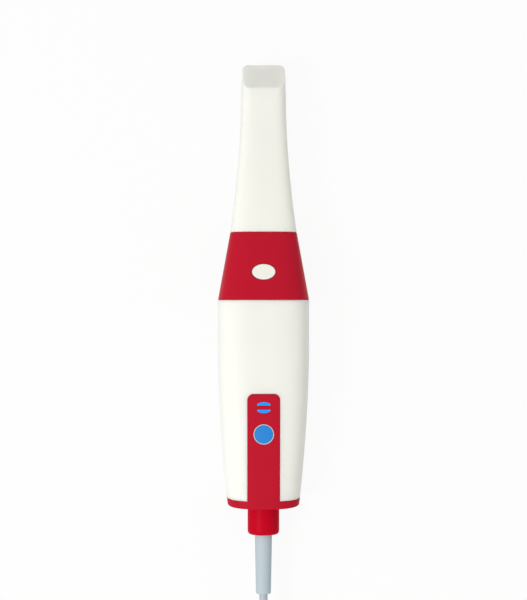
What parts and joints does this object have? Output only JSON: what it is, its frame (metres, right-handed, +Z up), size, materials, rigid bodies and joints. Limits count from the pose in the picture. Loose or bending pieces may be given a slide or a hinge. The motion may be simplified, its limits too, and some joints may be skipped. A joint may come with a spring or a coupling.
{
  "type": "intraoral scanner",
  "caption": "Handheld dental scanner with a pull-off mirror tip, a red collar with an oval scan button, a tapered white handle with a round power button, and a corded rear cap.",
  "frame": {"origin": "on the floor under the middle of the scanner without its cord, in its symmetry plane", "axes": "+Y towards the mirror tip, +Z up through the buttons as it lies on its back, +X to the right seen from above"},
  "size_m": [0.0588, 0.345, 0.0334],
  "materials": {
    "tip_white": "satin autoclavable white plastic",
    "handle_white": "smooth satin white plastic",
    "red_plastic": "smooth satin red plastic",
    "button_white": "satin",
    "button_blue": "satin",
    "ring_pale": "clear satin",
    "guide_blue": "lit blue",
    "lamp": "clear",
    "relief_grey": "soft matt grey",
    "cord_grey": "soft matt grey",
    "tie_black": "woven hook tape",
    "plug_black": "matt",
    "plug_metal": "nickel plated",
    "contact_plastic": "moulded",
    "seal_rubber": "matt",
    "inner_plastic": "moulded black",
    "clear_glass": "clear coated",
    "mirror_glass": "polished",
    "black_metal": "black anodised",
    "board_green": "satin coat",
    "chip_black": "matt",
    "bare_aluminium": "brushed",
    "nut_brass": "turned",
    "screw_steel": "zinc plated"
  },
  "bodies": {
    "handle": {"upper_casing": "handle_white", "lower_casing": "handle_white", "collar": "red_plastic", "rear_cap": "red_plastic", "cord_gland": "red_plastic", "power_ring": "ring_pale", "status_light_guide": "guide_blue", "status_leds": "lamp", "strain_relief": "relief_grey", "inner_lead": "cord_grey", "cord_coil": "cord_grey", "cord_lead": "cord_grey", "cord_tail": "cord_grey", "cord_tie": "tie_black", "plug_grip": "plug_black", "plug_shell": "plug_metal", "plug_contacts": "contact_plastic", "nose_seal": "seal_rubber", "cap_seal": "seal_rubber", "nose_tube": "inner_plastic", "scan_switch": "inner_plastic", "power_switch": "inner_plastic", "cord_clamp": "inner_plastic", "board_socket": "inner_plastic", "lead_connector": "inner_plastic", "nose_window": "clear_glass", "projector_lens": "clear_glass", "camera_lens_left": "clear_glass", "camera_lens_right": "clear_glass", "optics_block": "black_metal", "projector_barrel": "black_metal", "camera_barrel_left": "black_metal", "camera_barrel_right": "black_metal", "scan_board": "board_green", "button_board": "board_green", "projector_board": "board_green", "camera_board_left": "board_green", "camera_board_right": "board_green", "main_board": "board_green", "board_chips": "chip_black", "chassis": "bare_aluminium", "heat_sink": "bare_aluminium", "gland_nut": "nut_brass", "nose_screws": "screw_steel", "scan_board_screws": "screw_steel", "button_board_screws": "screw_steel", "cap_screws": "screw_steel", "clamp_screws": "screw_steel", "chassis_screws": "screw_steel", "main_board_screws": "screw_steel"},
    "tip": {"tip_shell": "tip_white", "tip_mirror": "mirror_glass"},
    "scan_key": {"scan_button": "button_white", "scan_plunger": "inner_plastic"},
    "power_key": {"power_button": "button_blue", "power_plunger": "inner_plastic"}
  },
  "joints": [
    {"name": "tip_pull", "type": "slide", "parent": "handle", "child": "tip", "axis": [0, 1, 0], "range_m": [0, 0.075]},
    {"name": "scan_press", "type": "slide", "parent": "handle", "child": "scan_key", "axis": [0, -0.2448, -0.9696], "range_m": [0, 0.0006], "stiffness_N_per_m": 500, "springref_m": -0.001},
    {"name": "power_press", "type": "slide", "parent": "handle", "child": "power_key", "axis": [0, 0.1194, -0.9928], "range_m": [0, 0.0005], "stiffness_N_per_m": 500, "springref_m": -0.001}
  ]
}
